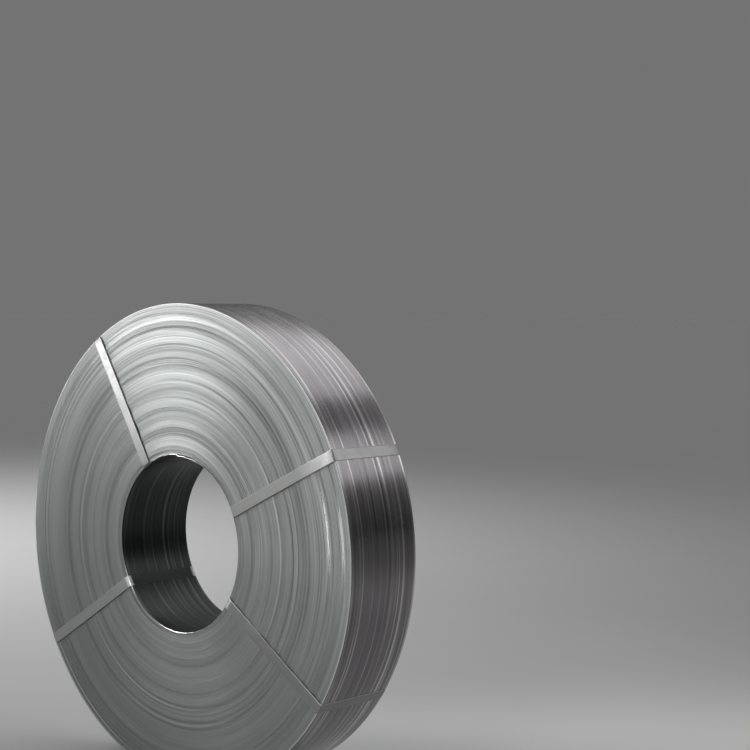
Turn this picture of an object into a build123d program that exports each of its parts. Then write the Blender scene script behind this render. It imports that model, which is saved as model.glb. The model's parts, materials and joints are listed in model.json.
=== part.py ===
from build123d import *
import os
from math import cos, pi, radians, sin

# A narrow slit coil of galvanised strip that stands on its rim, with its bore level, tied by four
# steel eye straps that each pass through the bore and round the rim. Millimetres, +Z up. The origin
# is on the floor under the middle of the coil. The bore runs along Y, and the front end faces -Y.

# Strip and coil
bore_diameter = 508.0  # the usual 20 inch mandrel
outer_diameter = 1370.0
strip_width = 250.0
strip_thickness = 1.5

# Turns: the winding wanders sideways, so turns that stand out at one end stand in at the other
turn_bands = 20  # from one crest or hollow of the wandering to the next
side_wander = 2.0
wander_swings = 13  # half swings from the first crest to the last, an odd number
band_unevenness = 0.22  # share of a band's own height
band_rhythm = 1.9  # radians from one band to the next in the unevenness

# Ends of the strip, seen from the front and counted counter-clockwise from the right
inner_tail_angle = 90.0
inner_tail_run = 24.0  # degrees over which the step in the bore fades out
outer_tail_angle = 172.0
outer_tail_run = 40.0
tail_sag = 0.45  # share of the step that is left half way along its run
tail_overcut = 0.2  # how far past the wall the step's curve ends

# Straps
strap_width = 32.0
strap_thickness = 0.9
strap_angles = [25.0, 122.0, 211.0, 326.0]

# Crimped seals, on the back end, where each strap's two ends lap
seal_drop = 165.0  # from the rim down to the middle of the seal
seal_length = 44.0
seal_wall = 0.9
lap_length = 130.0
crimp_width = 3.0
crimp_depth = 3.5
crimp_spacing = 16.0

bore_radius = bore_diameter / 2
rim_radius = outer_diameter / 2
half_width = strip_width / 2
seal_radius = rim_radius - seal_drop
reach = rim_radius + half_width  # longer than any cut needs to be
open_space = 10 * strip_thickness  # how far the tail cuts stand off the wall
sector_angle = 20.0  # wider than any strap, as seen from the coil's axis


def polar(radius, angle):
    """A point in the plane of the coil's end, by its radius and its angle in degrees."""
    return (radius * cos(radians(angle)), radius * sin(radians(angle)))


def band_edge(i):
    """The radius at which band i of the turns starts."""
    share = i + (band_unevenness * sin(band_rhythm * i) if 0 < i < turn_bands else 0.0)
    return bore_radius + (rim_radius - bore_radius) * share / turn_bands


def band_shift(i):
    """How far the turn there stands out at the front. The innermost and outermost turns are centred."""
    if i in (0, turn_bands):
        return 0.0
    return side_wander * cos(pi * wander_swings * (i - 1) / (turn_bands - 2))


def wound_outline():
    """Corners of the coil cut through its axis, front then back: radius along X, width along Y."""
    radii = [band_edge(i) for i in range(turn_bands + 1)]
    shifts = [band_shift(i) for i in range(turn_bands + 1)]
    front = [(radius, shift + half_width) for radius, shift in zip(radii, shifts)]
    back = [(radius, shift - half_width) for radius, shift in zip(radii, shifts)]
    return front, back


def taut(points, side):
    """The points that a band pulled over one end touches; side is 1 at the front and -1 at the back."""
    kept = []
    for x, y in points:
        while len(kept) > 1:
            (x1, y1), (x2, y2) = kept[-2:]
            if side * ((x2 - x1) * (y - y1) - (y2 - y1) * (x - x1)) < 0:
                break
            kept.pop()
        kept.append((x, y))
    return kept


def cut_face(points):
    """A face in the XY plane with these corners."""
    return make_face(Polyline(*points, close=True))


def tail_cut(radius, inward, angle, run):
    """What is missing past a strip end: a step one strip deep that fades out over run degrees.

    inward is 1 on the rim, where the step goes in towards the axis, and -1 in the bore.
    """
    outside = radius + inward * open_space
    foot = polar(radius - inward * strip_thickness, angle)
    middle = polar(radius - inward * tail_sag * strip_thickness, angle + run / 2)
    end = polar(radius + inward * tail_overcut, angle + run)
    outline = [
        Line(polar(outside, angle), foot),
        ThreePointArc(foot, middle, end),
        Line(end, polar(outside, angle + run)),
        ThreePointArc(polar(outside, angle + run), polar(outside, angle + run / 2),
                      polar(outside, angle)),
    ]
    return extrude(make_face(outline), reach, both=True)


def strip_coil():
    """The wound strip: one turned ring, with the step of each strip end in the bore and on the rim."""
    front, back = wound_outline()
    ring = revolve(Plane.XZ * cut_face(front + back[::-1]), Axis.Z)
    ring -= tail_cut(bore_radius, -1, inner_tail_angle, inner_tail_run)
    ring -= tail_cut(rim_radius, 1, outer_tail_angle, -outer_tail_run)
    return ring


def taut_face(clear):
    """The face inside a band pulled tight round the coil, grown by clear, with bent corners."""
    front, back = wound_outline()
    face = cut_face(taut(front, 1) + taut(back, -1)[::-1])
    if clear == 0:
        return face
    face = offset(face, amount=clear, kind=Kind.INTERSECTION)
    sides = face.vertices().group_by(Axis.X)
    return fillet(sides[0] + sides[-1], radius=clear)


def band(inner, outer, width):
    """A band of the given width round the coil at angle 0, from one height over it to another."""
    ring = Plane.XZ * (taut_face(outer) - taut_face(inner))
    sector = Rot(0, 0, -sector_angle / 2) * revolve(ring, Axis.Z, revolution_arc=sector_angle)
    return sector & Box(reach, width, 2 * reach, align=(Align.MIN, Align.CENTER, Align.CENTER))


def at_seal(length):
    """The space at the back end where the strap's ends lap, as long as given along the strap."""
    return Pos(seal_radius, 0, -half_width) * Box(length, 4 * strap_width, half_width)


def eye_strap():
    """One strap at angle 0: a closed loop with the lapped end under its seal."""
    loop = band(0, strap_thickness, strap_width)
    lap = band(strap_thickness, 2 * strap_thickness, strap_width) & at_seal(lap_length)
    return loop + lap


def strap_seal():
    """The seal over the lap: a top plate with two folded sides, notched by the crimping jaws."""
    lap_height = 2 * strap_thickness
    seal_width = strap_width + 2 * seal_wall
    clip = band(0, lap_height + seal_wall, seal_width)
    clip = (clip - band(0, lap_height, strap_width)) & at_seal(seal_length)
    for side in (-1, 1):
        for place in (-0.5, 0.5):
            x = seal_radius + place * crimp_spacing
            y = side * (seal_width / 2 + crimp_depth / 2 - seal_wall)
            clip -= Pos(x, y, -half_width) * Box(crimp_width, crimp_depth, half_width)
    return clip


def stand(shape, angle=0.0):
    """Turns a piece to its angle round the axis and stands it on the floor, front towards -Y."""
    return Pos(0, 0, rim_radius) * Rot(90, 0, 0) * Rot(0, 0, angle) * shape


def build():
    pieces = {"strip_coil": stand(strip_coil())}
    strap = eye_strap()
    seal = strap_seal()
    for number, angle in enumerate(strap_angles, start=1):
        pieces[f"eye_strap_{number}"] = stand(strap, angle)
        pieces[f"strap_seal_{number}"] = stand(seal, angle)
    return pieces


os.makedirs("parts", exist_ok=True)
for name, piece in build().items():
    export_step(piece, f"parts/{name}.step")
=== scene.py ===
import bisect
import json
import math
import random

import bpy
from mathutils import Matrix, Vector, noise


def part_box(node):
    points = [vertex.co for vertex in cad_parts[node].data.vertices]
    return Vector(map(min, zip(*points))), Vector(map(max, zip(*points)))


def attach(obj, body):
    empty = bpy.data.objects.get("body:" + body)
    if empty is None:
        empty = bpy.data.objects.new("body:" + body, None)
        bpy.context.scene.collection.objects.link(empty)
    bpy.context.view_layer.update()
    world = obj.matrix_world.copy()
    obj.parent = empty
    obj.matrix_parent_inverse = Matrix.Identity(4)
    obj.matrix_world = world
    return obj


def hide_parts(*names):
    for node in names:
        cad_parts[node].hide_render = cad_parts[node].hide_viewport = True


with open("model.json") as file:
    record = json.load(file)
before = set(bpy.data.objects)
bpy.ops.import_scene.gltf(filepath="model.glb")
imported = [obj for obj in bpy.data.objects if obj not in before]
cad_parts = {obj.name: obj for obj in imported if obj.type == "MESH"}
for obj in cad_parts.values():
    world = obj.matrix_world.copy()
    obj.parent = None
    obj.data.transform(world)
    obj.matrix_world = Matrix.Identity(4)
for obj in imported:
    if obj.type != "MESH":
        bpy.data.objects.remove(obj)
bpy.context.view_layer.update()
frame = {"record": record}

# Metres, +Z up. The coil stands on its rim with its bore along Y, and its front end faces -Y.
# Angles round the bore are in degrees, counter-clockwise from +X as seen from the front.
boreMount = next(m for m in frame["record"]["mounts"] if m["name"] == "bore")
coilLow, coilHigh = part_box("strip_coil")
boreRadius = boreMount["dims"]["r_mm"] / 1000
halfWidth = boreMount["dims"]["length_mm"] / 2000
axisHeight = boreMount["pos_m"][2]
rimRadius = (coilHigh.z - coilLow.z) / 2
crest = coilHigh.y - halfWidth  # how far the proudest turns stand out of an end
stripThickness = 0.0015
sameSpot = 1e-6  # points nearer to each other than this are one point
slack = 1e-5  # for rounding, where a place is compared with a surface
creaseAngle = math.radians(30)  # edges sharper than this stay crisp
noiseSpan = (0.3, 0.7)  # where most values of a noise texture lie


def deselectAll():
    if bpy.context.mode != "OBJECT":
        bpy.ops.object.mode_set(mode="OBJECT")
    bpy.ops.object.select_all(action="DESELECT")


def editAll():
    bpy.ops.object.mode_set(mode="EDIT")
    bpy.ops.mesh.select_all(action="SELECT")


def angleOf(x, z):
    return math.degrees(math.atan2(z - axisHeight, x)) % 360


def smoothStep(value, low, high):
    # 0 at low and 1 at high, with a soft start and end
    share = min(1.0, max(0.0, (value - low) / (high - low)))
    return share * share * (3 - 2 * share)


def within(value, limit):
    return max(-limit, min(value, limit))


def drawOut(step):
    bpy.ops.mesh.extrude_region_move(TRANSFORM_OT_translate={"value": step})


def drawLine(name, points):
    # one vertex, drawn out from point to point, and left in edit mode with all of it selected
    deselectAll()
    bpy.ops.mesh.primitive_plane_add(size=0.01, location=points[0])
    piece = bpy.context.object
    piece.name = name
    bpy.ops.object.transform_apply(location=True, rotation=True, scale=True)
    editAll()
    bpy.ops.mesh.merge(type="CENTER")
    for here, following in zip(points, points[1:]):
        drawOut(tuple(b - a for a, b in zip(here, following)))
    bpy.ops.mesh.select_all(action="SELECT")
    bpy.ops.mesh.remove_doubles(threshold=sameSpot)
    return piece


# Node helpers: put() makes a node and calc() a math node, and inputs are sockets or plain values
def feed(tree, node, inputs):
    for key, value in inputs.items():
        if isinstance(value, bpy.types.NodeSocket):
            tree.links.new(value, node.inputs[key])
        else:
            node.inputs[key].default_value = value
    return node


def put(tree, kind, inputs=None, **settings):
    node = tree.nodes.new("ShaderNode" + kind)
    for key, value in settings.items():
        setattr(node, key, value)
    return feed(tree, node, inputs or {})


def calc(tree, operation, *terms):
    return put(tree, "Math", dict(enumerate(terms)), operation=operation).outputs[0]


def spread(tree, value, low, high, newLow=0.0, newHigh=1.0):
    inputs = {"Value": value, "From Min": low, "From Max": high, "To Min": newLow, "To Max": newHigh}
    return put(tree, "MapRange", inputs).outputs["Result"]


def gather(tree, x, y, z):
    return put(tree, "CombineXYZ", {"X": x, "Y": y, "Z": z}).outputs[0]


def stretch(tree, *pairs):
    # a place made of three measures, each times its own factor
    return gather(tree, *[calc(tree, "MULTIPLY", measure, factor) for measure, factor in pairs])


def cloudiness(tree, place, scale, detail, **more):
    inputs = dict(more, Vector=place, Scale=scale, Detail=detail)
    return put(tree, "TexNoise", inputs).outputs[0]


def grey(value, tint=(1.0, 1.0, 1.0)):
    return (value * tint[0], value * tint[1], value * tint[2], 1.0)


def blendColours(tree, share, first, second):
    return put(tree, "Mix", {0: share, 6: first, 7: second}, data_type="RGBA").outputs[2]


def coat(tree, colour, mask, share, other):
    # another colour laid over this one, where the mask is
    return blendColours(tree, calc(tree, "MULTIPLY", mask, share), colour, other)


def newGroup(name, inputs, outputs):
    tree = bpy.data.node_groups.new(name, "ShaderNodeTree")
    for label, default in inputs.items():
        kind = "NodeSocketVector" if default is None else "NodeSocketFloat"
        socket = tree.interface.new_socket(label, in_out="INPUT", socket_type=kind)
        if default is not None:
            socket.default_value = default
    for label in outputs:
        tree.interface.new_socket(label, in_out="OUTPUT", socket_type="NodeSocketFloat")
    return tree, tree.nodes.new("NodeGroupInput").outputs, tree.nodes.new("NodeGroupOutput").inputs


def useGroup(tree, group, inputs):
    return put(tree, "Group", inputs, node_tree=group).outputs


def newMaterial(name):
    material = bpy.data.materials.new(name)
    material.use_nodes = True
    tree = material.node_tree
    tree.nodes.clear()
    shader = put(tree, "BsdfPrincipled")
    put(tree, "OutputMaterial", {"Surface": shader.outputs["BSDF"]})
    return material, tree, shader


def fromAxis(tree, turn=0.0):
    # the place on the piece, measured from the bore's axis, turned so that a strap lies along X
    place = put(tree, "TexCoord").outputs["Object"]
    place = put(tree, "Mapping", {"Vector": place, "Location": (0, 0, -axisHeight)}).outputs[0]
    if not turn:
        return place
    return put(tree, "Mapping", {"Vector": place, "Rotation": (0, math.radians(turn), 0)}).outputs[0]


# Grain: lines that run along one direction and change fast across it
grain = {"detail": 5.0, "cloudScale": 0.23, "cloudDetail": 2.0}


def makeGrain():
    tree, start, end = newGroup("metalGrain", {"Place": None, "Softness": 0.5}, ["Lines", "Clouds"])
    lines = cloudiness(tree, start["Place"], 1.0, grain["detail"], Roughness=start["Softness"])
    clouds = cloudiness(tree, start["Place"], grain["cloudScale"], grain["cloudDetail"])
    tree.links.new(lines, end["Lines"])
    tree.links.new(clouds, end["Clouds"])
    return tree


# Handling marks: smudges of dust and oil with soft edges
marks = {
    "detail": 6.0,
    "roughness": 0.62,
    "distortion": 0.6,
    "softBelow": 0.12,
    "softAbove": 0.18,
}


def makeMarks():
    tree, start, end = newGroup("handlingMarks", {"Place": None, "Size": 0.2, "Share": 0.4}, ["Mask"])
    scale = calc(tree, "DIVIDE", 1.0, start["Size"])
    cloud = cloudiness(tree, start["Place"], scale, marks["detail"],
                       Roughness=marks["roughness"], Distortion=marks["distortion"])
    edge = calc(tree, "SUBTRACT", 1.0, start["Share"])
    low = calc(tree, "SUBTRACT", edge, marks["softBelow"])
    high = calc(tree, "ADD", edge, marks["softAbove"])
    tree.links.new(spread(tree, cloud, low, high), end["Mask"])
    return tree


# Hairlines: single thin lines across one direction, light and dark, that fade in and out along it
hairlines = {
    "row": 0.4,  # the line through the noise on which they lie
    "apart": 17.3,  # between the light lines' part of the noise and the dark lines'
    "driftAcross": 38.0,  # so that neighbouring lines fade at other places
    "driftApart": 3.1,
    "detail": 2.0,
    "fadeScale": 1.6,
    "fadeSpan": (0.42, 0.62),
}


def makeHairlines():
    inputs = {"Place": None, "Across": 0.0, "PerMetre": 60.0, "Width": 0.1}
    tree, start, end = newGroup("hairlines", inputs, ["Light", "Dark"])
    across = calc(tree, "MULTIPLY", start["Across"], start["PerMetre"])
    drift = calc(tree, "MULTIPLY", start["Across"], hairlines["driftAcross"])
    for number, label in enumerate(("Light", "Dark")):
        ticks = calc(tree, "ADD", across, hairlines["apart"] * number)
        ticks = gather(tree, ticks, hairlines["row"], 0.0)
        lines = cloudiness(tree, ticks, 1.0, hairlines["detail"])
        away = calc(tree, "ABSOLUTE", calc(tree, "SUBTRACT", lines, 0.5))
        line = spread(tree, away, 0.0, start["Width"], 1.0, 0.0)
        moved = gather(tree, drift, hairlines["driftApart"] * number, 0.0)
        reach = put(tree, "VectorMath", {0: start["Place"], 1: moved}, operation="ADD").outputs[0]
        fade = cloudiness(tree, reach, hairlines["fadeScale"], hairlines["detail"])
        shown = spread(tree, fade, *hairlines["fadeSpan"])
        tree.links.new(calc(tree, "MULTIPLY", line, shown), end[label])
    return tree


grainGroup = makeGrain()
marksGroup = makeMarks()
hairGroup = makeHairlines()


def marksOn(tree, place, look):
    return useGroup(tree, marksGroup, dict(look["marks"], Place=place))["Mask"]


def hairsOn(tree, place, across, look):
    return useGroup(tree, hairGroup, {
        "Place": place, "Across": across, "PerMetre": look["hairsPerMetre"], "Width": look["hairWidth"]})


# The sheared edges of the turns, which are what an end of the coil shows
turnEdges = {
    "dark": grey(0.36, (0.95, 1.0, 0.98)),
    "light": grey(0.54, (0.96, 1.0, 0.98)),
    "cloudShare": 0.4,
    "stain": grey(0.42, (1.0, 0.965, 0.985)),
    "marks": {"Size": 0.35, "Share": 0.42},
    "markShare": 0.25,
    # painted sheen: the outer turns of the upper half are made paler, where the end catches more light
    "paintedSheen": grey(0.8, (0.97, 1.0, 0.99)),
    "sheenShare": 0.4,
    "sheenRadii": (0.54, 0.62),  # where the painted sheen on the upper turns comes in towards the rim
    "sheenHeights": (-0.32, -0.05),  # from the axis, where that fades in upwards
    "sheenSides": (0.15, 0.35),  # from the middle, where it fades in to the left and the right
    "seamDark": grey(0.12),
    "seamShare": 0.2,
    "seamSharpness": 6.0,
    "hairLight": grey(0.9),
    "hairDark": grey(0.14),
    "hairsPerMetre": 100.0,
    "hairWidth": 0.10,
    "hairBrightness": 0.6,
    "hairShare": 0.8,
    "hairDirection": 62.0,  # degrees round the bore, where the hairlines show most, as painted highlight and shade where the end catches the light
    "hairSpan": (-0.3, 0.7),  # the cosines from that direction over which they come in
    "hairLeast": 0.3,
    "hairHeight": 0.0003,
    "hairStrength": 0.8,
    "arcs": [
        # radius, middle and reach in degrees, strength, half width, outward slope and polish of the
        # turns that each arc lights up with a painted highlight, with painted shade on either side
        (0.472, 250.0, 42.0, 0.75, 0.0045, -0.20, 0.2),
        (0.519, 268.0, 34.0, 0.85, 0.0070, -0.22, 0.3),
        (0.472, 42.0, 30.0, 0.5, 0.0035, 0.0, 0.0),
        (0.604, 8.0, 16.0, 1.0, 0.0120, 0.34, 1.0),
        (0.656, 6.0, 14.0, 1.0, 0.0085, 0.34, 1.0),
        (0.603, 48.0, 34.0, 0.4, 0.0032, 0.0, 0.0),
        (0.320, 60.0, 40.0, 0.4, 0.0032, 0.0, 0.0),
        (0.392, 70.0, 34.0, 0.4, 0.0032, 0.0, 0.0),
        (0.668, 232.0, 26.0, 1.0, 0.0030, -0.10, 0.4),
        (0.680, 226.0, 24.0, 0.6, 0.0026, 0.0, 0.0),
        (0.2590, 234.0, 34.0, 1.0, 0.0026, -0.10, 0.4),
    ],
    "arcCore": 0.3,  # the share of its half width over which an arc's painted highlight is at its brightest
    "arcShade": 0.0028,  # half width of the painted shade on either side of an arc's painted highlight
    "arcShadeStrength": 0.8,
    "roughness": (0.42, 0.54),
    "polishedRoughness": 0.14,
    "grainPerMetre": 240.0,
    "grainRound": 1.6,  # changes per metre along a turn
    "grainSoftness": 0.7,
    "lineDepth": 0.0004,
    "lineStrength": 0.6,
    "metallic": 0.85,
    "anisotropic": 0.6,
    "anisotropicTurn": 0.25,
}


def cosineFrom(tree, flat, radius, degrees):
    # 1 in this direction from the axis, 0 at right angles to it
    turn = math.radians(degrees)
    inputs = {0: flat, 1: (math.cos(turn), 0, math.sin(turn))}
    reach = put(tree, "VectorMath", inputs, operation="DOT_PRODUCT").outputs["Value"]
    return calc(tree, "DIVIDE", reach, radius)


def makeTurnEdges():
    look = turnEdges
    material, tree, shader = newMaterial("turnEdges")
    place = fromAxis(tree)
    parts = put(tree, "SeparateXYZ", {0: place}).outputs
    flat = gather(tree, parts["X"], 0.0, parts["Z"])
    radius = put(tree, "VectorMath", {0: flat}, operation="LENGTH").outputs["Value"]
    grainPlace = stretch(tree, (parts["X"], look["grainRound"]), (radius, look["grainPerMetre"]),
                         (parts["Z"], look["grainRound"]))
    grainOf = useGroup(tree, grainGroup, {"Place": grainPlace, "Softness": look["grainSoftness"]})
    seam = calc(tree, "FRACT", calc(tree, "DIVIDE", radius, stripThickness))
    seam = calc(tree, "ABSOLUTE", calc(tree, "SUBTRACT", calc(tree, "MULTIPLY", seam, 2.0), 1.0))
    # 1 where two turns meet, 0 in the middle of a turn
    seam = calc(tree, "POWER", seam, look["seamSharpness"])
    lines = calc(tree, "MULTIPLY", spread(tree, grainOf["Lines"], *noiseSpan), 1 - look["cloudShare"])
    clouds = calc(tree, "MULTIPLY", spread(tree, grainOf["Clouds"], *noiseSpan), look["cloudShare"])
    tone = calc(tree, "ADD", lines, clouds)
    colour = blendColours(tree, tone, look["dark"], look["light"])
    colour = coat(tree, colour, marksOn(tree, place, look), look["markShare"], look["stain"])
    # painted sheen on the outer turns of the upper half, to the left and the right of the middle
    sheen = spread(tree, radius, *look["sheenRadii"], 0.0, look["sheenShare"])
    upper = spread(tree, parts["Z"], *look["sheenHeights"])
    aside = spread(tree, calc(tree, "ABSOLUTE", parts["X"]), *look["sheenSides"])
    sheen = calc(tree, "MULTIPLY", calc(tree, "MULTIPLY", sheen, upper), aside)
    colour = blendColours(tree, sheen, colour, look["paintedSheen"])
    colour = coat(tree, colour, seam, look["seamShare"], look["seamDark"])

    # light and dark hairlines: partly the turns' own tone, partly painted highlight and shade, strongest
    # towards hairDirection
    toward = cosineFrom(tree, flat, radius, look["hairDirection"])
    shown = spread(tree, toward, *look["hairSpan"], look["hairLeast"], 1.0)
    hairs = hairsOn(tree, place, radius, look)
    light = calc(tree, "MULTIPLY", hairs["Light"], calc(tree, "MULTIPLY", shown, look["hairBrightness"]))
    dark = calc(tree, "MULTIPLY", hairs["Dark"], shown)
    relief = calc(tree, "SUBTRACT", light, dark)
    polished = 0.0
    # each arc paints a highlight on a few turns and painted shade beside them; its slope tilts them by
    # bump and its polish lowers their roughness
    for ring, middle, reach, strength, halfSpan, slope, polish in look["arcs"]:
        ahead = cosineFrom(tree, flat, radius, middle)
        near = spread(tree, ahead, math.cos(math.radians(reach)), 1.0, 0.0, strength)
        away = calc(tree, "ABSOLUTE", calc(tree, "SUBTRACT", radius, ring))
        bright = spread(tree, away, look["arcCore"] * halfSpan, halfSpan, 1.0, 0.0)
        bright = calc(tree, "MULTIPLY", bright, near)
        beside = calc(tree, "ABSOLUTE", calc(tree, "SUBTRACT", away, halfSpan + look["arcShade"]))
        shade = spread(tree, beside, 0.0, look["arcShade"], look["arcShadeStrength"], 0.0)
        light = calc(tree, "MAXIMUM", light, bright)
        dark = calc(tree, "MAXIMUM", dark, calc(tree, "MULTIPLY", shade, near))
        fall = calc(tree, "MULTIPLY", calc(tree, "SUBTRACT", ring, radius), slope / look["hairHeight"])
        relief = calc(tree, "ADD", relief, calc(tree, "MULTIPLY", bright, fall))
        if polish:
            polished = calc(tree, "MAXIMUM", polished, calc(tree, "MULTIPLY", bright, polish))
    # the light and the dark hairlines, and the arcs' painted highlight and painted shade
    colour = coat(tree, colour, light, look["hairShare"], look["hairLight"])
    colour = coat(tree, colour, dark, look["hairShare"], look["hairDark"])

    rough = spread(tree, grainOf["Lines"], *noiseSpan, *look["roughness"])
    inputs = {0: polished, 2: rough, 3: look["polishedRoughness"]}
    rough = put(tree, "Mix", inputs, data_type="FLOAT").outputs[0]
    raised = put(tree, "Bump", {"Height": relief, "Distance": look["hairHeight"],
                                "Strength": look["hairStrength"]})
    height = calc(tree, "SUBTRACT", tone, seam)
    bump = put(tree, "Bump", {"Height": height, "Distance": look["lineDepth"],
                              "Strength": look["lineStrength"], "Normal": raised.outputs[0]})
    tangent = put(tree, "Tangent", direction_type="RADIAL", axis="Y")
    feed(tree, shader, {"Base Color": colour, "Roughness": rough, "Normal": bump.outputs[0],
                        "Tangent": tangent.outputs[0], "Metallic": look["metallic"],
                        "Anisotropic": look["anisotropic"],
                        "Anisotropic Rotation": look["anisotropicTurn"]})
    return material


# The rolled face of the strip, which is what the rim shows
rolledFace = {
    "name": "rolledFace",
    "dark": grey(0.17, (1.0, 0.93, 0.99)),
    "light": grey(0.30, (1.0, 0.97, 0.99)),
    "toneSpan": (0.35, 0.72),
    "dust": grey(0.27, (0.96, 1.0, 0.97)),
    "marks": {"Size": 0.25, "Share": 0.4},
    "markShare": 0.3,
    "markRoughness": 0.1,
    "hairLight": grey(0.85),
    "hairDark": grey(0.06),
    "hairShare": 0.6,
    "hairsPerMetre": 34.0,
    "hairWidth": 0.05,
    "roughness": (0.14, 0.32),
    "roughSpan": (0.3, 0.75),
    "grainPerMetre": 420.0,
    "grainRound": 1.3,
    "grainSoftness": 0.65,
    "lineDepth": 0.00012,
    "waveDepth": 0.004,
    "waveScale": 4.5,
    "bumpStrength": 0.5,
}

# The wall of the bore is the same strip in a much darker copy, painted shade inside the bore
shadedBoreFace = dict(
    rolledFace,
    name="shadedBoreFace",
    dark=grey(0.025, (0.9, 1.0, 0.97)),
    light=grey(0.06, (0.92, 1.0, 0.97)),
    dust=grey(0.05, (0.95, 1.0, 0.95)),
    hairLight=grey(0.2),
    hairShare=0.5,
    roughness=(0.24, 0.42),
)


def makeRolledFace(look):
    material, tree, shader = newMaterial(look["name"])
    place = fromAxis(tree)
    parts = put(tree, "SeparateXYZ", {0: place}).outputs
    grainPlace = stretch(tree, (parts["X"], look["grainRound"]), (parts["Y"], look["grainPerMetre"]),
                         (parts["Z"], look["grainRound"]))
    lines = useGroup(tree, grainGroup, {"Place": grainPlace, "Softness": look["grainSoftness"]})["Lines"]
    mask = marksOn(tree, place, look)
    hairs = hairsOn(tree, place, parts["Y"], look)
    colour = blendColours(tree, spread(tree, lines, *look["toneSpan"]), look["dark"], look["light"])
    colour = coat(tree, colour, mask, look["markShare"], look["dust"])
    colour = coat(tree, colour, hairs["Light"], look["hairShare"], look["hairLight"])
    colour = coat(tree, colour, hairs["Dark"], look["hairShare"], look["hairDark"])
    rough = spread(tree, lines, *look["roughSpan"], *look["roughness"])
    rough = calc(tree, "ADD", rough, calc(tree, "MULTIPLY", mask, look["markRoughness"]))
    wave = cloudiness(tree, place, look["waveScale"], 1.0)
    broad = put(tree, "Bump", {"Height": wave, "Distance": look["waveDepth"],
                               "Strength": look["bumpStrength"]})
    bump = put(tree, "Bump", {"Height": lines, "Distance": look["lineDepth"],
                              "Strength": look["bumpStrength"], "Normal": broad.outputs[0]})
    feed(tree, shader, {"Base Color": colour, "Roughness": rough, "Normal": bump.outputs[0],
                        "Metallic": 1.0})
    return material


# A lighter copy of the strip as painted highlight: the side of a turn, where it stands out past its
# neighbour, and the outermost and innermost turns on the ends
turnSides = {
    "clean": grey(0.86),
    "dull": grey(0.70, (0.97, 1.0, 0.98)),
    "marks": {"Size": 0.12, "Share": 0.45},
    "roughness": (0.3, 0.42),
}


def makeTurnSides():
    material, tree, shader = newMaterial("turnSides")
    mask = marksOn(tree, fromAxis(tree), turnSides)
    colour = blendColours(tree, mask, turnSides["clean"], turnSides["dull"])
    rough = spread(tree, mask, 0.0, 1.0, *turnSides["roughness"])
    feed(tree, shader, {"Base Color": colour, "Roughness": rough, "Metallic": 1.0})
    return material


# The steel of the straps and the seals
strapSteel = {
    "dark": 0.66,
    "light": 0.88,
    "stain": grey(0.45, (1.0, 0.98, 0.95)),
    "marks": {"Size": 0.06, "Share": 0.4},
    "markShare": 0.35,
    # painted shade: the runs of a strap inside the bore are darkened
    "boreShade": grey(0.045, (0.92, 1.0, 0.97)),
    "boreShadeEdge": 0.112,  # from the middle of the width, where the painted shade on the runs in the bore ends
    "boreReach": 0.003,  # from the bore's wall, what counts as in the bore
    "nearBoreShade": grey(0.32, (0.99, 1.0, 0.98)),  # painted shade: a darker tone on the strap towards the bore
    # painted glint: the light colour for the strap's corner at the bore and for the highlight along one
    # edge
    "paintedGlint": grey(0.97),
    "glintReach": 0.012,  # where the strap is pulled over the edge of the bore, and a painted glint lies
    "edgeGlintFrom": 0.0135,  # from the middle of the strap, where a painted highlight runs along its edge
    # darker where the strap runs over the rim
    "rimDark": grey(0.22, (1.0, 0.98, 0.99)),
    "rimDarkShare": 0.62,
    "rimReach": 0.0005,
    "roughness": (0.17, 0.27),
    "dullRoughness": 0.2,  # what a strap without any gloss adds
    "markRoughness": 0.12,
    "nearBoreShadeRoughness": 0.15,
    "rimRoughness": 0.2,
    "grainPerMetre": 900.0,
    "grainAlong": 5.0,
    "grainSoftness": 0.6,
    "lineDepth": 0.00008,
    "lineStrength": 0.6,
}


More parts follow.
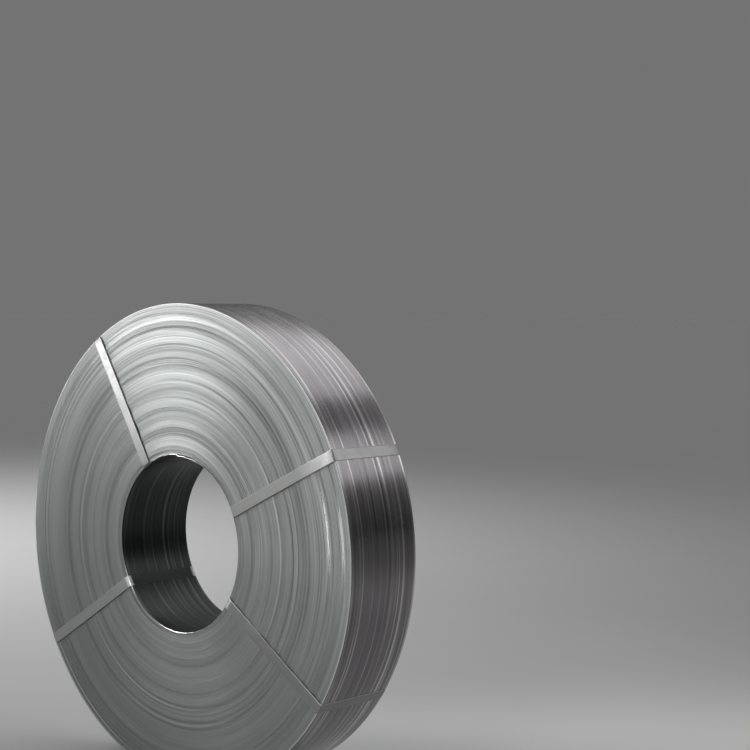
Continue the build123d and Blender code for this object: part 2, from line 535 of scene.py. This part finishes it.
def makeStrapSteel(name, turn, look):
    steel = strapSteel
    material, tree, shader = newMaterial(name)
    place = fromAxis(tree, turn)
    parts = put(tree, "SeparateXYZ", {0: place}).outputs
    along = parts["X"]
    grainPlace = stretch(tree, (along, steel["grainAlong"]), (parts["Y"], steel["grainAlong"]),
                         (parts["Z"], steel["grainPerMetre"]))
    inputs = {"Place": grainPlace, "Softness": steel["grainSoftness"]}
    lines = useGroup(tree, grainGroup, inputs)["Lines"]
    mask = marksOn(tree, place, steel)
    # brightness scales the steel's tone: per strap a lighter or darker copy of the same steel, painted
    # light and shade
    darkTone, lightTone = (grey(steel[key] * look["brightness"]) for key in ("dark", "light"))
    colour = blendColours(tree, spread(tree, lines, *noiseSpan), darkTone, lightTone)
    colour = coat(tree, colour, mask, steel["markShare"], steel["stain"])
    # painted shade, darker on the strap towards the bore
    nearBoreShade = spread(tree, along, *look["nearBoreShadeFades"], look["nearBoreShade"], 0.0)
    colour = blendColours(tree, nearBoreShade, colour, steel["nearBoreShade"])
    # painted glint where the strap bends over the edge of the bore, and a painted highlight along one
    # edge
    cornerGlint = calc(tree, "LESS_THAN", along, boreRadius + steel["glintReach"])
    cornerGlint = calc(tree, "MULTIPLY", cornerGlint, look["paintedGlint"])
    edgeGlint = calc(tree, "GREATER_THAN", parts["Z"], steel["edgeGlintFrom"])
    edgeGlint = calc(tree, "MULTIPLY", edgeGlint, look["edge"])
    colour = blendColours(tree, calc(tree, "MAXIMUM", cornerGlint, edgeGlint), colour, steel["paintedGlint"])
    # darker where the strap runs over the rim
    onRim = calc(tree, "GREATER_THAN", along, rimRadius - steel["rimReach"])
    rimDarkening = calc(tree, "MULTIPLY", onRim, steel["rimDarkShare"])
    colour = blendColours(tree, rimDarkening, colour, steel["rimDark"])
    # painted shade on the runs of the strap inside the bore
    inBore = calc(tree, "LESS_THAN", along, boreRadius + steel["boreReach"])
    depth = calc(tree, "ABSOLUTE", parts["Y"])
    boreShaded = spread(tree, depth, steel["boreShadeEdge"], halfWidth, 1.0, 0.0)
    colour = coat(tree, colour, inBore, boreShaded, steel["boreShade"])
    dull = steel["dullRoughness"] * (1 - look["gloss"])
    rough = spread(tree, lines, *noiseSpan, *(value + dull for value in steel["roughness"]))
    for cover, key in ((mask, "markRoughness"), (nearBoreShade, "nearBoreShadeRoughness"), (rimDarkening, "rimRoughness")):
        rough = calc(tree, "ADD", rough, calc(tree, "MULTIPLY", cover, steel[key]))
    bump = put(tree, "Bump", {"Height": lines, "Distance": steel["lineDepth"],
                              "Strength": steel["lineStrength"]})
    feed(tree, shader, {"Base Color": colour, "Roughness": rough, "Normal": bump.outputs[0],
                        "Metallic": look["metallic"]})
    return material


# The wound strip
woundStrip = {
    "sides": 160,
    "ringedZones": [
        # between these radii, the turns show one by one
        (0.2555, 0.268), (0.300, 0.352), (0.380, 0.392), (0.422, 0.446), (0.494, 0.524), (0.612, 0.655),
    ],
    "ringedTurns": (1, 2),  # fewest and most turns in a group there, and in the smooth rest
    "smoothTurns": (3, 6),
    "ringedGap": 0.0003,
    "smoothGap": 0.0,
    "gapDepth": 0.003,
    "wrapGap": 0.0005,
    "wrapGapDepth": 0.025,  # behind the innermost wrap, which has sprung loose
    "cornerBevel": 0.001,
    "bands": 20,
    "swings": 13,
    "crestSharpness": 1.5,
    "crestShare": 0.97,  # of the crest, that a turn stands out at most
    "middle": -0.0009,  # how far the mean turn stands in at the front, under the straps
    "swing": 0.0005,
    "ripple": 0.0002,
    "ripplesPerMetre": 55.0,
    "ringedScatter": 0.00025,
    "smoothScatter": 0.0,
    "proudBands": [
        # between these radii, the turns stand out this much more
        (0.465, 0.471, 0.0008), (0.513, 0.518, 0.0009), (0.633, 0.637, 0.0005), (0.672, 0.677, 0.0005),
    ],
    "roundWander": 0.0004,
    "wanderRound": 1.3,  # how much the wander changes on the way round
    "wanderPerTurn": 0.1,
    "brightEdge": 0.003,  # the outermost turns, which get the lighter turn-side steel as a painted highlight along the rim
    "endSlope": 0.6,  # a face that looks more along the bore than this is part of an end
    "rimShell": 1.2,  # thicknesses of strip from the rim, for its rolled face
    "boreShell": 1.3,  # and from the bore's wall, for the darker one with painted shade
    "boreRows": 7,
    "rimRows": 11,
    "innerTail": 90.0,
    "innerTailRun": 24.0,
    "innerTailStep": 0.9,  # of the strip's thickness
    "outerTail": 172.0,
    "outerTailRun": 40.0,
    "tailEdge": 0.15,  # degrees from the end of the strip to the turn below it
    "sprungFrom": 36.0,
    "sprungBy": 0.004,
    "seed": 11,
}


def standLimit(radius):
    # how far out a turn may stand there, under the straps that run straight over the crests
    band = (rimRadius - boreRadius) / woundStrip["bands"]
    return crest * min(1.0, (radius - boreRadius) / band, (rimRadius - radius) / band)


def standOut(radius, scatter):
    bands = woundStrip["bands"]
    share = (radius - boreRadius) / (rimRadius - boreRadius) * bands
    wave = math.cos(math.pi * woundStrip["swings"] * (share - 1) / (bands - 2))
    wave = 2 * ((wave + 1) / 2) ** woundStrip["crestSharpness"] - 1
    ripplePlace = Vector((woundStrip["ripplesPerMetre"] * radius, 0.5, 2.5))
    stand = woundStrip["middle"] + woundStrip["swing"] * wave + scatter
    return stand + woundStrip["ripple"] * 2 * noise.noise(ripplePlace)


def makeGroups():
    # groups of turns from the bore to the rim, with how far each stands out at its two sides
    chance = random.Random(woundStrip["seed"])
    lastTurn = rimRadius - woundStrip["brightEdge"]
    groups = []
    radius = boreRadius
    while radius < rimRadius - sameSpot:
        ringed = any(low <= radius < high for low, high in woundStrip["ringedZones"])
        kind = "ringed" if ringed else "smooth"
        turns = 1 if not groups else chance.randint(*woundStrip[kind + "Turns"])
        outer = radius + turns * stripThickness
        if radius < lastTurn - sameSpot and outer > lastTurn - stripThickness:
            outer = lastTurn
        outer = min(outer, rimRadius)
        scatter = woundStrip[kind + "Scatter"] * chance.uniform(-1, 1)
        proud = [extra for low, high, extra in woundStrip["proudBands"]
                 if low <= radius < high or low < outer <= high]
        if proud:
            scatter += max(proud)
        stands = []
        for edge in (radius, outer):
            limit = min(woundStrip["crestShare"] * crest, standLimit(edge))
            stands.append(within(standOut(edge, scatter), limit))
        groups.append({"inner": radius, "outer": outer, "gap": woundStrip[kind + "Gap"],
                       "ringed": ringed or bool(proud), "stands": stands})
        radius = outer
    groups[0]["gap"] = woundStrip["wrapGap"]
    groups[0]["ringed"] = True
    return groups


def sectionPoints(groups):
    # radius and depth of the cut through the coil: bore wall, front end, rim, back end
    bevel = woundStrip["cornerBevel"]
    last = len(groups) - 1
    front = [(boreRadius, -halfWidth + bevel)]
    back = [(boreRadius, halfWidth - bevel)]
    for number, group in enumerate(groups):
        inner = group["inner"] + (groups[number - 1]["gap"] / 2 if number else bevel)
        outer = group["outer"] - (group["gap"] / 2 if number < last else bevel)
        for radius, stand in zip((inner, outer), group["stands"]):
            front.append((radius, -halfWidth - stand))
            back.append((radius, halfWidth - stand))
        if number < last and group["ringed"] and group["gap"]:
            here, following = group["stands"][1], groups[number + 1]["stands"][0]
            depth = woundStrip["gapDepth"] if number else woundStrip["wrapGapDepth"]
            front.append((group["outer"], -halfWidth - min(here, following) + depth))
            back.append((group["outer"], halfWidth - max(here, following) - depth))
    front.append((rimRadius, -halfWidth + bevel))
    back.append((rimRadius, halfWidth - bevel))
    rows = woundStrip["boreRows"]
    boreWall = [(boreRadius, back[0][1] + (front[0][1] - back[0][1]) * i / rows) for i in range(rows)]
    rows = woundStrip["rimRows"]
    rim = [(rimRadius, front[-1][1] + (back[-1][1] - front[-1][1]) * i / rows) for i in range(1, rows)]
    return boreWall + front + rim + back[::-1][:-1]


def cutAcross(angle):
    # a radial edge at this angle, for a crisp strip end
    bpy.ops.mesh.select_all(action="SELECT")
    turn = math.radians(angle)
    bpy.ops.mesh.bisect(plane_co=(0, 0, axisHeight), plane_no=(-math.sin(turn), 0, math.cos(turn)))


def wanderOf(number, group, angle):
    # how far a turn has crept sideways at this angle, within the room that its stand leaves it
    turn = math.radians(angle)
    wide = woundStrip["wanderRound"]
    place = Vector((wide * math.cos(turn), wide * math.sin(turn), woundStrip["wanderPerTurn"] * number))
    limit = min(standLimit(group["inner"]), standLimit(group["outer"]))
    room = max(0.0, min(limit - max(group["stands"]), limit + min(group["stands"])))
    return within(woundStrip["roundWander"] * 2 * noise.noise(place), room)


def settledRadius(radius, angle, innermost):
    # the innermost wrap springs in up to its end, and past it the bore is a thickness wider; the
    # rim is a thickness lower up to the end of the outermost turn
    newRadius = radius
    edge = woundStrip["tailEdge"] / 2
    if innermost:
        if angle < woundStrip["innerTail"] + edge:
            sprung = smoothStep(angle, woundStrip["sprungFrom"], woundStrip["innerTail"])
            newRadius -= woundStrip["sprungBy"] * sprung
        past = angle - woundStrip["innerTail"]
        if edge < past < woundStrip["innerTailRun"] and radius < boreRadius + slack:
            step = woundStrip["innerTailStep"] * stripThickness
            newRadius += step * (1 - past / woundStrip["innerTailRun"])
    before = woundStrip["outerTail"] - angle
    onRim = radius > rimRadius - woundStrip["cornerBevel"] - slack
    if onRim and edge < before < woundStrip["outerTailRun"]:
        newRadius -= stripThickness * (1 - before / woundStrip["outerTailRun"])
    return newRadius


def settleTurns(piece, groups):
    starts = [group["inner"] for group in groups]
    for vertex in piece.data.vertices:
        x, y, z = vertex.co
        radius = math.hypot(x, z - axisHeight)
        angle = angleOf(x, z)
        number = bisect.bisect_right(starts, radius + slack) - 1
        if abs(y) > halfWidth - 2 * woundStrip["wrapGapDepth"]:
            y -= wanderOf(number, groups[number], angle)
        scale = settledRadius(radius, angle, number == 0) / radius
        vertex.co = (x * scale, y, axisHeight + (z - axisHeight) * scale)


def paintCoil(piece):
    edgeSlot, rimSlot, sideSlot, boreSlot = range(4)
    piece.data.materials.append(makeTurnEdges())
    piece.data.materials.append(makeRolledFace(rolledFace))
    piece.data.materials.append(makeTurnSides())
    piece.data.materials.append(makeRolledFace(shadedBoreFace))
    glintFrom = rimRadius - woundStrip["brightEdge"]
    glintTo = boreRadius + stripThickness
    rimFrom = rimRadius - woundStrip["rimShell"] * stripThickness
    boreTo = boreRadius + woundStrip["boreShell"] * stripThickness
    # the outermost and innermost turns of the ends, and the sides of the turns, get the lighter copy as
    # a painted highlight
    for face in piece.data.polygons:
        radius = math.hypot(face.center.x, face.center.z - axisHeight)
        if abs(face.normal.y) > woundStrip["endSlope"]:
            paintedGlint = radius > glintFrom or radius < glintTo
            face.material_index = sideSlot if paintedGlint else edgeSlot
        elif radius > rimFrom:
            face.material_index = rimSlot
        else:
            face.material_index = boreSlot if radius < boreTo else sideSlot


def makeCoil():
    groups = makeGroups()
    outline = [(radius, depth, axisHeight) for radius, depth in sectionPoints(groups)]
    piece = drawLine("woundStrip", outline + outline[:1])
    bpy.ops.mesh.spin(steps=woundStrip["sides"], angle=2 * math.pi, center=(0, 0, axisHeight),
                      axis=(0, 1, 0))
    bpy.ops.mesh.select_all(action="SELECT")
    bpy.ops.mesh.remove_doubles(threshold=sameSpot)
    cutAcross(woundStrip["innerTail"] + woundStrip["tailEdge"])
    cutAcross(woundStrip["outerTail"])
    cutAcross(woundStrip["outerTail"] - woundStrip["tailEdge"])
    bpy.ops.mesh.select_all(action="SELECT")
    bpy.ops.mesh.normals_make_consistent(inside=False)
    bpy.ops.object.mode_set(mode="OBJECT")
    settleTurns(piece, groups)
    paintCoil(piece)
    bpy.ops.object.shade_smooth_by_angle(angle=creaseAngle)
    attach(piece, "root")
    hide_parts("strip_coil")
    print("wound strip:", len(groups), "groups of turns,", len(piece.data.polygons), "faces")


makeCoil()

# The straps: each is one length of flat steel, drawn round the coil at angle 0 and then turned
# Plain steel is what a strap or a seal has where its own settings say nothing else
plainSteel = dict(metallic=0.95, gloss=0.5, nearBoreShade=0.0, nearBoreShadeFades=(0.27, 0.66), paintedGlint=0.0, edge=0.0)
strap = {
    "halfWidth": 0.016,
    "thickness": 0.00088,
    "bend": 0.0046,  # from the corner, where a run starts to turn over the coil's bevelled corner
    "bendRadius": 0.0018,  # of the two turns on either side of the flat at 45 degrees
    "bendTurns": [0, 15, 30, 40, 44],
    "runStep": 0.016,
    "sealPlace": 0.520,  # from the axis
    "lap": 0.065,  # from the middle of the seal to either end of the strap
    "lapRise": 0.008,
    "columns": [-0.016, -0.0135, -0.007, 0.0, 0.007, 0.0135, 0.016],
    "notches": [-0.008, 0.008],
    "notchWidth": 0.003,
    "notchDepth": 0.0026,
    "pinchFrom": 0.012,  # from the middle of the width, where the steel starts to give
    "frontReach": 0.004,  # behind the front end, what still counts as the front run
    "dipReach": 0.05,
    "edgeBevel": 0.0002,
    "bevelAngle": math.radians(50),
    "pieces": {
        # by the number of the node; drift, dip, dipPlace and curl are in the mesh, the rest is in
        # the material, and the painted shade towards the bore fades out between two distances from the
        # axis
        # brightness gives each strap a lighter or darker copy of the same steel, as painted light and
        # shade
        1: dict(plainSteel, name="strapRight", metallic=0.9, gloss=0.85, brightness=1.0,
                nearBoreShade=0.92, nearBoreShadeFades=(0.54, 0.685), drift=0.0012, dip=0.0006, dipPlace=0.47, curl=0.0),
        2: dict(plainSteel, name="strapUpperLeft", metallic=0.9, gloss=1.0, brightness=1.05,
                nearBoreShade=0.85, drift=-0.0010, dip=0.0005, dipPlace=0.40, curl=0.0),
        # burnished and edge set the shares of the painted glint at the bore corner and of the painted
        # highlight along one edge
        3: dict(plainSteel, name="strapLowerLeft", brightness=0.67, paintedGlint=0.95,
                drift=0.0008, dip=0.0008, dipPlace=0.35, curl=0.0),
        4: dict(plainSteel, name="strapLowerRight", brightness=0.54, paintedGlint=0.8, edge=0.8,
                drift=-0.0014, dip=0.0018, dipPlace=0.365, curl=0.0005),
    },
}


def straightRun(start, end, step):
    # points from start up to, but without, end
    pieces = max(1, round(abs(end - start) / step))
    return [start + (end - start) * i / pieces for i in range(pieces)]


def bentCorner(x, sideX, side, endFirst):
    # round the coil's corner at x, from its end to its wall; sideX points into the coil
    radius = strap["bendRadius"]
    turns = [math.radians(degrees) for degrees in strap["bendTurns"]]
    half = [(strap["bend"] - radius * math.sin(turn), radius * (1 - math.cos(turn))) for turn in turns]
    offsets = half + [(down, across) for across, down in reversed(half)]
    points = [(x + sideX * across, side * (halfWidth + crest - down)) for across, down in offsets]
    return points if endFirst else points[::-1]


def notchStations(shares):
    # places along the strap, at these shares of each notch's width from its middle
    return [strap["sealPlace"] + notch + share * strap["notchWidth"]
            for notch in strap["notches"] for share in shares]


def strapLine():
    # where the inner side of a strap runs: along X from the axis, along Y through the coil
    notchEdges = notchStations((-1.0, -0.5, 0.5, 1.0))
    bend = strap["bend"]
    step = strap["runStep"]
    under = strap["sealPlace"] + strap["lap"]
    over = strap["sealPlace"] - strap["lap"]
    rise = under + strap["lapRise"]
    level = halfWidth + crest
    wall = level - bend
    backRun = straightRun(under, boreRadius + bend, step) + notchEdges
    line = [(x, level) for x in sorted(backRun, reverse=True)]
    line += bentCorner(boreRadius, 1, 1, True)
    line += [(boreRadius, y) for y in straightRun(wall, -wall, 2 * step)[1:]]
    line += bentCorner(boreRadius, 1, -1, False)
    line += [(x, -level) for x in straightRun(boreRadius + bend, rimRadius - bend, step)[1:]]
    line += bentCorner(rimRadius, -1, -1, True)
    line += [(rimRadius, y) for y in straightRun(-wall, wall, 2 * step)[1:]]
    line += bentCorner(rimRadius, -1, 1, False)
    line += [(x, level) for x in straightRun(rimRadius - bend, rise, step)[1:]] + [(rise, level)]
    level += strap["thickness"]
    line += [(x, level) for x in sorted(straightRun(under, over, step) + notchEdges, reverse=True)]
    return line + [(over, level)]


def pinch(x, z, pinchFrom):
    # how far the crimping jaws have pushed the steel in there, from 0 to 1
    share = 0.0
    for notch in strap["notches"]:
        away = abs(x - strap["sealPlace"] - notch) / strap["notchWidth"]
        share = max(share, min(1.0, max(0.0, 2 - 2 * away)))
    outward = (abs(z) - pinchFrom) / (strap["halfWidth"] - pinchFrom)
    return share * min(1.0, max(0.0, outward))


def strapAngle(number):
    # whole degrees round the bore, from the middle of the strap's solid
    low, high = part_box(f"eye_strap_{number}")
    return round(angleOf((low.x + high.x) / 2, (low.z + high.z) / 2))


def turnTo(piece, angle):
    # from angle 0 on the axis to its angle round the bore
    deselectAll()
    piece.select_set(True)
    bpy.context.view_layer.objects.active = piece
    piece.location = (0, 0, axisHeight)
    piece.rotation_euler = (0, -math.radians(angle), 0)
    bpy.ops.object.transform_apply(location=True, rotation=True, scale=True)


def faceOut(piece):
    # turn every face of a closed sheet line away from the coil
    middle = Vector(((boreRadius + rimRadius) / 2, 0, 0))
    inside = sum(1 for face in piece.data.polygons if face.normal.dot(face.center - middle) < 0)
    if inside > len(piece.data.polygons) / 2:
        editAll()
        bpy.ops.mesh.flip_normals()
        bpy.ops.object.mode_set(mode="OBJECT")


def addWall(piece, thickness, bevel):
    wall = piece.modifiers.new("wall", "SOLIDIFY")
    wall.thickness = thickness
    wall.offset = 1.0
    wall.use_even_offset = True
    edges = piece.modifiers.new("edges", "BEVEL")
    edges.width = bevel
    edges.segments = 2
    edges.limit_method = "ANGLE"
    edges.angle_limit = strap["bevelAngle"]
    for modifier in (wall.name, edges.name):
        bpy.ops.object.modifier_apply(modifier=modifier)
    bpy.ops.object.shade_smooth_by_angle(angle=creaseAngle)


def makeStrap(number, look):
    angle = strapAngle(number)
    columns = strap["columns"]
    level = halfWidth + crest
    piece = drawLine(look["name"], [(x, y, columns[0]) for x, y in strapLine()])
    for here, following in zip(columns, columns[1:]):
        drawOut((0, 0, following - here))
    bpy.ops.object.mode_set(mode="OBJECT")
    for vertex in piece.data.vertices:
        x, y, z = vertex.co
        if y < -halfWidth + strap["frontReach"]:
            away = (x - boreRadius) / (rimRadius - boreRadius)
            lifted = smoothStep(abs(x - look["dipPlace"]), strap["dipReach"], 0.0)
            y += look["dip"] * lifted * (z / strap["halfWidth"] + 1) / 2
            y += look["curl"] * smoothStep(z, columns[-2], columns[-1])
            z += look["drift"] * math.sin(math.pi * away)
        if y > level - strap["thickness"] / 2:
            z -= math.copysign(strap["notchDepth"], z) * pinch(x, z, strap["pinchFrom"])
        # all of the strap's width lies at the same distance from the axis
        vertex.co = (math.sqrt(x * x - z * z), y, z)
    faceOut(piece)
    addWall(piece, strap["thickness"], strap["edgeBevel"])
    turnTo(piece, angle)
    piece.data.materials.append(makeStrapSteel(look["name"] + "Steel", angle, look))
    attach(piece, "root")
    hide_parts(f"eye_strap_{number}")


for number, look in strap["pieces"].items():
    makeStrap(number, look)
print("straps:", len(strap["pieces"]))

# The seals: a folded sheet over the lap, crimped from both sides
seal = {
    "length": 0.044,
    "endRow": 0.003,  # from either end, where a row keeps the mouth of the seal straight
    "wall": 0.00085,
    "gap": 0.00015,
    "foldRadius": 0.0008,
    "foldTurns": (0, 30, 60, 90),
    "columns": (0.012, 0.006),
    "foot": 0.0001,  # above the crests of the coil's end
    "pinchFrom": 0.0119,
    "dent": 0.0004,  # how far the jaws press the top down
    "edgeBevel": 0.00025,
    "look": dict(plainSteel, metallic=0.9, gloss=0.4, brightness=0.55),
    "names": {1: "sealRight", 2: "sealUpperLeft", 3: "sealLowerLeft", 4: "sealLowerRight"},
}


def sealLine(x):
    # one cut across the seal, from foot to foot, at the inner side of its wall
    side = strap["halfWidth"] + seal["gap"]
    top = halfWidth + crest + 2 * strap["thickness"]
    foot = halfWidth + crest + seal["foot"]
    fold = seal["foldRadius"]
    half = [(x, foot, side)]
    for degrees in seal["foldTurns"]:
        turn = math.radians(degrees)
        half.append((x, top - fold * (1 - math.sin(turn)), side - fold * (1 - math.cos(turn))))
    half += [(x, top, column) for column in seal["columns"]]
    return [(a, b, -c) for a, b, c in half] + [(x, top, 0.0)] + half[::-1]


def makeSeal(number, name):
    angle = strapAngle(number)
    middle = strap["sealPlace"]
    start = middle - seal["length"] / 2
    end = middle + seal["length"] / 2
    stations = {start, start + seal["endRow"], end - seal["endRow"], end, middle}
    stations = sorted(stations.union(notchStations((-1.0, -0.5, 0.0, 0.5, 1.0))))
    piece = drawLine(name, sealLine(start))
    for here, following in zip(stations, stations[1:]):
        drawOut((following - here, 0, 0))
    bpy.ops.object.mode_set(mode="OBJECT")
    for vertex in piece.data.vertices:
        x, y, z = vertex.co
        pressed = pinch(x, z, seal["pinchFrom"])
        z -= math.copysign(strap["notchDepth"], z) * pressed
        if y > halfWidth + crest + strap["thickness"]:
            y -= seal["dent"] * pressed
        vertex.co = (x, y, z)
    editAll()
    bpy.ops.mesh.normals_make_consistent(inside=False)
    bpy.ops.object.mode_set(mode="OBJECT")
    faceOut(piece)
    addWall(piece, seal["wall"], seal["edgeBevel"])
    turnTo(piece, angle)
    piece.data.materials.append(makeStrapSteel(name + "Steel", angle, seal["look"]))
    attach(piece, "root")
    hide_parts(f"strap_seal_{number}")


for number, name in seal["names"].items():
    makeSeal(number, name)
print("seals:", len(seal["names"]))

# Floor and light
floorLook = {
    "size": 600.0,
    "tone": 0.85,
    "cloudTone": 0.96,  # of the tone, where the floor is darkest
    "cloudScale": 1.5,
    "cloudDetail": 3.0,
    "roughness": 0.8,
}


def makeFloor():
    deselectAll()
    bpy.ops.mesh.primitive_plane_add(size=floorLook["size"], location=(0, 0, 0))
    floor = bpy.context.object
    floor.name = "paleFloor"
    material, tree, shader = newMaterial("paleFloor")
    place = put(tree, "TexCoord").outputs["Object"]
    cloud = cloudiness(tree, place, floorLook["cloudScale"], floorLook["cloudDetail"])
    darkest = grey(floorLook["tone"] * floorLook["cloudTone"])
    colour = blendColours(tree, cloud, darkest, grey(floorLook["tone"]))
    feed(tree, shader, {"Base Color": colour, "Roughness": floorLook["roughness"]})
    floor.data.materials.append(material)


studio = {
    "lights": [
        # name, place, aimed at, size along and across, spread of its beam, watts
        ("overhead", (-1.95, -1.2, 2.7), (0.1, -0.1, 1.4), (1.2, 1.2), 42, 8.6),
        ("lowCard", (-2.2, -2.1, 1.0), (0.1, -0.1, 1.1), (1.7, 1.1), 75, 1.43),
        ("frontFill", (-0.3, -3.2, 0.55), (0.6, -0.1, 0.8), (0.8, 0.8), 40, 0.45),
        ("cameraSide", (1.5, -2.75, 2.8), (0.3, -0.1, 0.95), (1.0, 1.0), 60, 1.4),
        ("rightWindow", (2.6, 1.9, 2.45), (0.6, 0.0, 0.9), (1.6, 1.0), 120, 3.0),
        ("roofWindow", (-0.3, 2.0, 3.5), (0.3, 0.0, 1.2), (3.2, 1.0), 120, 6.0),
        ("floorLight", (-5.5, 1.5, 6.0), (-5.5, 1.5, 0.0), (5.0, 2.0), 100, 80),
    ],
    "skyTop": 0.47,
    "skyHorizon": 0.053,
    "skyHeights": (0.05, 0.9),
    "skyFront": 0.15,
    "skySides": (-0.3, 0.3),  # from the front to the back, where the sky comes up to its full tone
    "backdrop": 0.1715,  # the tone that the far floor has, so that no horizon shows
}


def makeLights():
    for name, place, target, size, beam, power in studio["lights"]:
        deselectAll()
        bpy.ops.object.light_add(type="AREA", location=place)
        light = bpy.context.object
        light.name = name
        light.data.shape = "RECTANGLE"
        light.data.size, light.data.size_y = size
        light.data.spread = math.radians(beam)
        light.data.energy = power
        light.rotation_euler = (Vector(target) - Vector(place)).to_track_quat("-Z", "Y").to_euler()


def makeSky():
    world = bpy.data.worlds.new("studioSky")
    bpy.context.scene.world = world
    world.use_nodes = True
    tree = world.node_tree
    tree.nodes.clear()
    parts = put(tree, "SeparateXYZ", {0: put(tree, "TexCoord").outputs["Generated"]}).outputs
    level = spread(tree, parts["Z"], *studio["skyHeights"], studio["skyHorizon"], studio["skyTop"])
    side = spread(tree, parts["Y"], *studio["skySides"], studio["skyFront"], 1.0)
    level = calc(tree, "MULTIPLY", level, side)
    sky = put(tree, "Background", {"Color": grey(1.0), "Strength": level})
    plain = put(tree, "Background", {"Color": grey(1.0), "Strength": studio["backdrop"]})
    seen = put(tree, "LightPath").outputs["Is Camera Ray"]
    mixed = put(tree, "MixShader", {0: seen, 1: sky.outputs[0], 2: plain.outputs[0]})
    put(tree, "OutputWorld", {"Surface": mixed.outputs[0]})


photoView = {"place": (3.564, -3.146, 1.339), "turn": (87.87, 0.0, 42.79), "lens": 78.4, "sensor": 36.0}


def makeCamera():
    deselectAll()
    turn = [math.radians(degrees) for degrees in photoView["turn"]]
    bpy.ops.object.camera_add(location=photoView["place"], rotation=turn)
    camera = bpy.context.object
    camera.data.lens = photoView["lens"]
    camera.data.sensor_width = photoView["sensor"]
    camera.data.dof.use_dof = False
    bpy.context.scene.camera = camera


makeFloor()
makeLights()
makeSky()
makeCamera()
bpy.context.scene.view_settings.view_transform = "Standard"
print("studio:", len(studio["lights"]), "lights, a floor, a sky and a camera")
